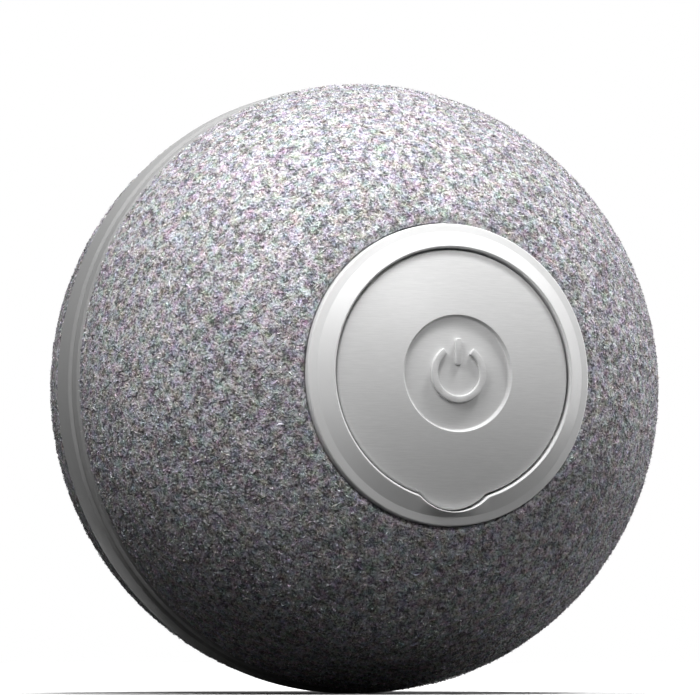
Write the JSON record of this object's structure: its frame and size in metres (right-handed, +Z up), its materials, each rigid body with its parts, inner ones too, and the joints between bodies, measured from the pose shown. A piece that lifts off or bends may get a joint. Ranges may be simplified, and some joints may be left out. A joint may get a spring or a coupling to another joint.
{
  "type": "self rolling cat ball",
  "caption": "Small powered pet ball: felt-covered halves on a plastic belt, a rimmed silicone port lid and a geared motor that swings an inner weight to roll it",
  "frame": {"origin": "the centre of the ball, on the axle's line and in the parting plane of the two shells", "axes": "+Y along the axle from the port lid to the plain end, +Z up as the ball rests on its belt with the weight hanging down, +X to the right as seen from the lid"},
  "size_m": [0.043, 0.0368, 0.043],
  "materials": {
    "grey_felt": "heathered wool felt with a short nap",
    "shell_plastic": "satin moulded plastic",
    "rim_plastic": "gloss moulded plastic",
    "lid_silicone": "satin silicone",
    "seal_rubber": "matt",
    "dark_plastic": "fine spark-eroded texture",
    "gear_plastic": "natural acetal, satin",
    "steel": "plated, fine brushed",
    "cast_weight": "as cast, lightly blasted",
    "brass": "machined",
    "circuit_board": "solder mask",
    "component_black": "moulded epoxy",
    "light_guide": "clear",
    "battery_foil": "foil pouch",
    "lead_red": "wire insulation",
    "lead_black": "wire insulation"
  },
  "bodies": {
    "casing": {"front_shell": "shell_plastic", "rear_shell": "shell_plastic", "front_felt_cover": "grey_felt", "rear_felt_cover": "grey_felt", "seal_ring": "seal_rubber", "front_rim": "rim_plastic", "rear_rim": "rim_plastic", "rear_end_cap": "shell_plastic", "lid_anchor": "lid_silicone", "port_panel": "dark_plastic", "tact_switch": "component_black", "usb_socket": "steel", "light_pipe": "light_guide", "status_lamp": "light_guide", "main_board": "circuit_board", "control_chip": "component_black", "battery": "battery_foil", "battery_lead_red": "lead_red", "battery_lead_black": "lead_black", "chassis": "dark_plastic", "chassis_screw_1": "steel", "chassis_screw_2": "steel", "chassis_screw_3": "steel", "motor_can": "steel", "motor_end_cap": "gear_plastic", "first_gear_pin": "steel", "second_gear_pin": "steel", "gear_cover": "dark_plastic", "cover_screw_1": "steel", "cover_screw_2": "steel", "cover_screw_3": "steel", "axle": "steel", "axle_washer": "steel"},
    "weight": {"swing_weight": "cast_weight", "weight_carrier": "gear_plastic", "output_gear": "gear_plastic", "axle_bush": "brass", "weight_screw_1": "steel", "weight_screw_2": "steel"},
    "second_gear_body": {"second_gear": "gear_plastic"},
    "first_gear_body": {"first_gear": "gear_plastic"},
    "rotor": {"motor_shaft": "steel", "motor_pinion": "brass"},
    "button": {"power_button": "shell_plastic", "switch_plunger": "gear_plastic"},
    "lid": {"port_lid": "lid_silicone"}
  },
  "joints": [
    {"name": "weight_swing", "type": "hinge", "parent": "casing", "child": "weight", "pos_m": [0, 0, 0], "axis": [0, 1, 0], "continuous": true},
    {"name": "second_gear_turn", "type": "hinge", "parent": "casing", "child": "second_gear_body", "pos_m": [0.00606, 0, -0.00107], "axis": [0, 1, 0], "continuous": true},
    {"name": "first_gear_turn", "type": "hinge", "parent": "casing", "child": "first_gear_body", "pos_m": [0.00493, 0, 0.00405], "axis": [0, 1, 0], "continuous": true},
    {"name": "rotor_turn", "type": "hinge", "parent": "casing", "child": "rotor", "pos_m": [0, 0, 0.00585], "axis": [0, 1, 0], "continuous": true},
    {"name": "button_press", "type": "slide", "parent": "casing", "child": "button", "axis": [0, 1, 0], "range_m": [0, 0.0004], "stiffness_N_per_m": 800},
    {"name": "lid_hinge", "type": "hinge", "parent": "casing", "child": "lid", "pos_m": [0, -0.01828, 0.00646], "axis": [-1, 0, 0], "range_deg": [0, 120]}
  ],
  "couplings": [
    {"joint": "second_gear_turn", "follows": "weight_swing", "ratio": -3.5556},
    {"joint": "first_gear_turn", "follows": "weight_swing", "ratio": 10.272},
    {"joint": "rotor_turn", "follows": "weight_swing", "ratio": -29.674}
  ]
}
